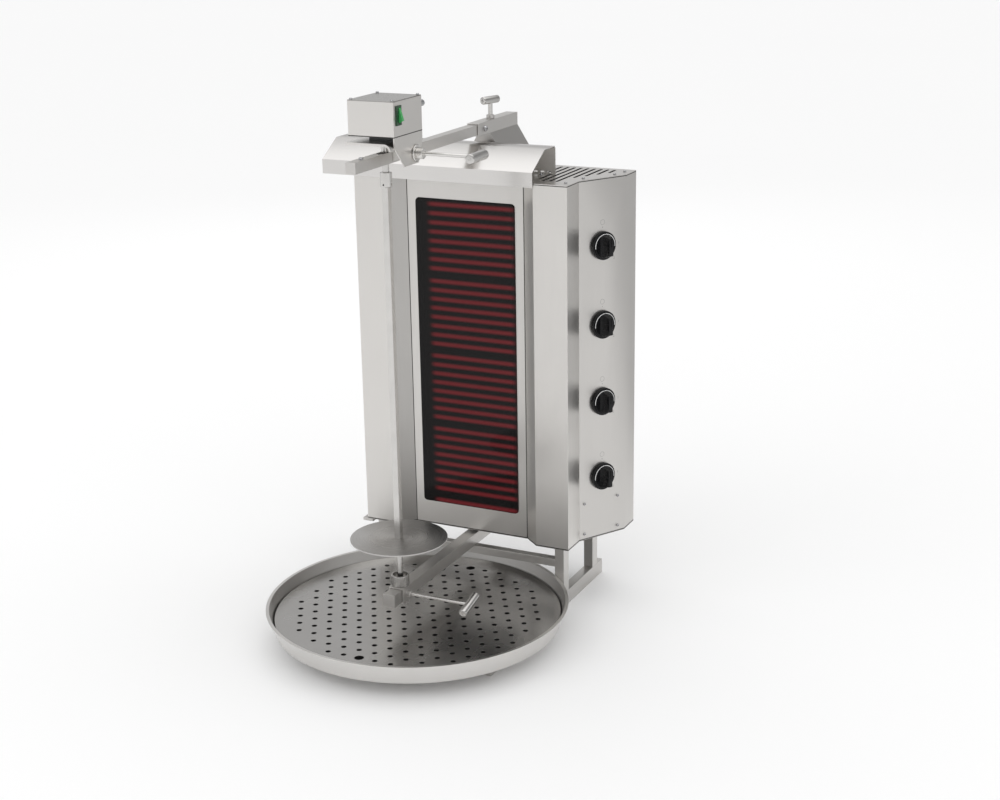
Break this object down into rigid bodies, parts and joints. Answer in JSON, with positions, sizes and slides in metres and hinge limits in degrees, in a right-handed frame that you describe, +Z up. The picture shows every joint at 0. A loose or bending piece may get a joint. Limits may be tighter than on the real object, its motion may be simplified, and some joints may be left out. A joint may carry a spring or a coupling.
{
  "type": "electric vertical spit grill",
  "caption": "Upright electric grill with a glass-fronted heater, a motor-driven vertical spit with a turning disc, side knobs and a round drip tray.",
  "frame": {"origin": "foot of the spit axis on the floor the frame stands on", "axes": "+Z up along the spit axis, -Y towards the cook and away from the glass, +X towards the side with the knobs"},
  "size_m": [0.5995, 0.7605, 1.0657],
  "materials": {
    "sheet_steel": "brushed, satin",
    "bare_steel": "cold rolled, satin",
    "tube_steel": "ground, satin",
    "turned_steel": "turned and polished",
    "black_plug": "matte",
    "heater_glass": "smooth, dark",
    "gasket_rubber": "matte",
    "heater_steel": "dull",
    "heater_board": "fibrous, matte",
    "heater_ribbon": "dull dark red",
    "black_plastic": "matte",
    "gland_alloy": "cast, satin",
    "motor_iron": "cast, painted",
    "switch_frame": "gloss",
    "switch_rocker": "gloss, translucent look",
    "knob_plastic": "satin gloss"
  },
  "bodies": {
    "base": {"floor_beam_right": "tube_steel", "floor_beam_left": "tube_steel", "post_front_right": "tube_steel", "post_front_left": "tube_steel", "post_rear_right": "tube_steel", "post_rear_left": "tube_steel", "cross_beam_front": "tube_steel", "cross_beam_rear": "tube_steel", "end_caps": "black_plug", "lower_arm": "tube_steel", "bottom_plate": "sheet_steel", "front_panel": "sheet_steel", "wing_right": "sheet_steel", "wing_left": "sheet_steel", "control_panel": "sheet_steel", "side_panel_left": "sheet_steel", "rear_panel": "sheet_steel", "top_cover_right": "sheet_steel", "top_cover_left": "sheet_steel", "body_screws": "turned_steel", "glass": "heater_glass", "gasket": "gasket_rubber", "heater_dishes": "heater_steel", "heater_boards": "heater_board", "heater_ribbons": "heater_ribbon", "hood": "bare_steel", "arm_bracket": "bare_steel", "rear_spine": "bare_steel", "rear_sleeve": "tube_steel", "sleeve_collar": "tube_steel", "top_arm": "tube_steel", "left_lug": "bare_steel", "inlet_gland": "black_plastic", "regulators": "black_plastic"},
    "head": {"head_saddle": "bare_steel", "head_guide": "bare_steel", "motor_case": "sheet_steel", "motor_lid": "sheet_steel", "lid_screws": "turned_steel", "gearmotor": "motor_iron", "motor_gland": "gland_alloy", "switch_bezel": "switch_frame"},
    "rocker": {"rocker": "switch_rocker"},
    "head_clamp": {"head_clamp": "turned_steel"},
    "spit": {"drive_shaft": "turned_steel", "coupling_sleeve": "turned_steel", "coupling_pin": "turned_steel", "spit_rod": "turned_steel", "meat_disc": "bare_steel"},
    "carriage": {"lower_carriage": "tube_steel", "bearing_cup": "turned_steel"},
    "lower_clamp": {"lower_clamp": "turned_steel"},
    "rear_clamp": {"rear_clamp": "turned_steel"},
    "tray": {"drip_tray": "bare_steel"},
    "insert": {"tray_insert": "bare_steel", "insert_feet": "turned_steel"},
    "knob_1": {"knob_1": "knob_plastic"},
    "knob_2": {"knob_2": "knob_plastic"},
    "knob_3": {"knob_3": "knob_plastic"},
    "knob_4": {"knob_4": "knob_plastic"}
  },
  "joints": [
    {"name": "head_slide", "type": "slide", "parent": "base", "child": "head", "axis": [0, 1, 0], "range_m": [-0.02, 0.12]},
    {"name": "lower_slide", "type": "slide", "parent": "base", "child": "carriage", "axis": [0, 1, 0], "range_m": [-0.02, 0.12]},
    {"name": "spit_spin", "type": "hinge", "parent": "head", "child": "spit", "pos_m": [0, 0, 0.5], "axis": [0, 0, 1], "continuous": true},
    {"name": "head_clamp_turn", "type": "hinge", "parent": "head", "child": "head_clamp", "pos_m": [0.1, 0.03, 0.9625], "axis": [1, 0, 0], "range_deg": [0, 180]},
    {"name": "lower_clamp_turn", "type": "hinge", "parent": "carriage", "child": "lower_clamp", "pos_m": [0.1, 0, 0.1151], "axis": [1, 0, 0], "range_deg": [0, 180]},
    {"name": "rear_clamp_turn", "type": "hinge", "parent": "base", "child": "rear_clamp", "pos_m": [0, 0.4285, 0.985], "axis": [0, 0, 1], "range_deg": [0, 180]},
    {"name": "rocker_tilt", "type": "hinge", "parent": "head", "child": "rocker", "pos_m": [0.044, -0.0285, 1.037], "axis": [0, 1, 0], "range_deg": [0, 20]},
    {"name": "knob_1_turn", "type": "hinge", "parent": "base", "child": "knob_1", "pos_m": [0.2604, 0.38425, 0.2625], "axis": [0.8647, -0.5023, 0], "range_deg": [-270, 0]},
    {"name": "knob_2_turn", "type": "hinge", "parent": "base", "child": "knob_2", "pos_m": [0.2604, 0.38425, 0.4215], "axis": [0.8647, -0.5023, 0], "range_deg": [-270, 0]},
    {"name": "knob_3_turn", "type": "hinge", "parent": "base", "child": "knob_3", "pos_m": [0.2604, 0.38425, 0.5805], "axis": [0.8647, -0.5023, 0], "range_deg": [-270, 0]},
    {"name": "knob_4_turn", "type": "hinge", "parent": "base", "child": "knob_4", "pos_m": [0.2604, 0.38425, 0.7395], "axis": [0.8647, -0.5023, 0], "range_deg": [-270, 0]},
    {"name": "tray_pull", "type": "slide", "parent": "base", "child": "tray", "axis": [0, -1, 0], "range_m": [0, 0.25]},
    {"name": "insert_lift", "type": "slide", "parent": "tray", "child": "insert", "axis": [0, 0, 1], "range_m": [0, 0.035]}
  ],
  "couplings": [
    {"joint": "lower_slide", "follows": "head_slide", "ratio": 1}
  ]
}
